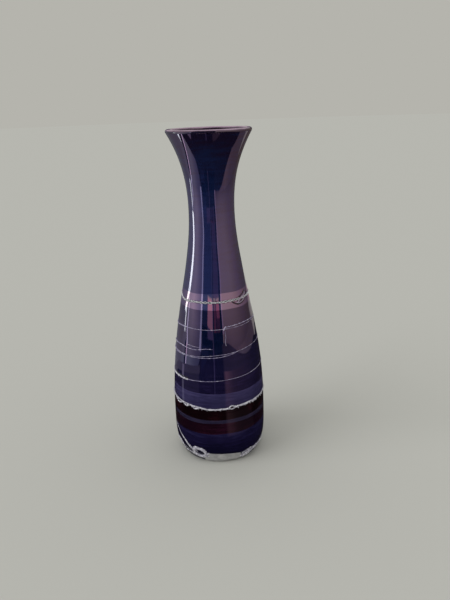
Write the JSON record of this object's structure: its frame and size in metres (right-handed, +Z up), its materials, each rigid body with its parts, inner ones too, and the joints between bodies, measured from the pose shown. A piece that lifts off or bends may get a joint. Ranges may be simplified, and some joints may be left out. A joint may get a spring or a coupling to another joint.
{
  "type": "art glass vase",
  "caption": "Slim hand blown bottle vase with a flared mouth, banded violet, oxblood and cobalt overlay on an opal liner, laid-on glass trails and curls, and a solid opal foot.",
  "frame": {"origin": "centre of the resting face, on the vase's axis", "axes": "+Z up along the vase's axis, -Y the front with the window in the cobalt skirt, +X to the right seen from the front"},
  "size_m": [0.0878, 0.0878, 0.3],
  "materials": {
    "opal_glass": "opal glass, glossy, with a ground and polished dimple under the foot",
    "cobalt_glass": "cobalt overlay, high gloss with a violet lustre",
    "oxblood_glass": "oxblood overlay, high gloss, nearly black",
    "slate_glass": "slate overlay, high gloss",
    "lavender_glass": "lavender overlay, high gloss with a soft lustre",
    "indigo_glass": "indigo overlay, high gloss with a violet lustre",
    "smoke_glass": "smoke violet overlay, high gloss with a violet lustre",
    "plum_glass": "plum overlay, high gloss with a mauve lustre",
    "rose_glass": "rose overlay, high gloss with a pearly lustre",
    "aubergine_glass": "aubergine overlay, high gloss with a mauve lustre",
    "lilac_glass": "fire-polished lilac bead",
    "silvered_glass": "silvered trail with a beaded surface",
    "pale_trail_glass": "pale fine trail, fire-polished",
    "white_trail_glass": "opaque white trail, fire-polished, uneven"
  },
  "bodies": {
    "root": {"liner": "opal_glass", "foot_pad": "opal_glass", "cobalt_band": "cobalt_glass", "lower_oxblood_band": "oxblood_glass", "upper_oxblood_band": "oxblood_glass", "slate_band": "slate_glass", "lavender_band": "lavender_glass", "indigo_band": "indigo_glass", "smoke_band": "smoke_glass", "plum_band": "plum_glass", "rose_band": "rose_glass", "neck_overlay": "aubergine_glass", "lip_wrap": "lilac_glass", "silver_trail": "silvered_glass", "silver_curl": "silvered_glass", "upper_trail": "pale_trail_glass", "upper_trail_lap": "pale_trail_glass", "middle_trail": "pale_trail_glass", "middle_trail_lap": "pale_trail_glass", "middle_strand": "pale_trail_glass", "lower_trail": "pale_trail_glass", "rope_trail": "white_trail_glass", "foot_trail": "white_trail_glass", "foot_curl": "white_trail_glass", "foot_strand": "white_trail_glass"}
  },
  "joints": []
}
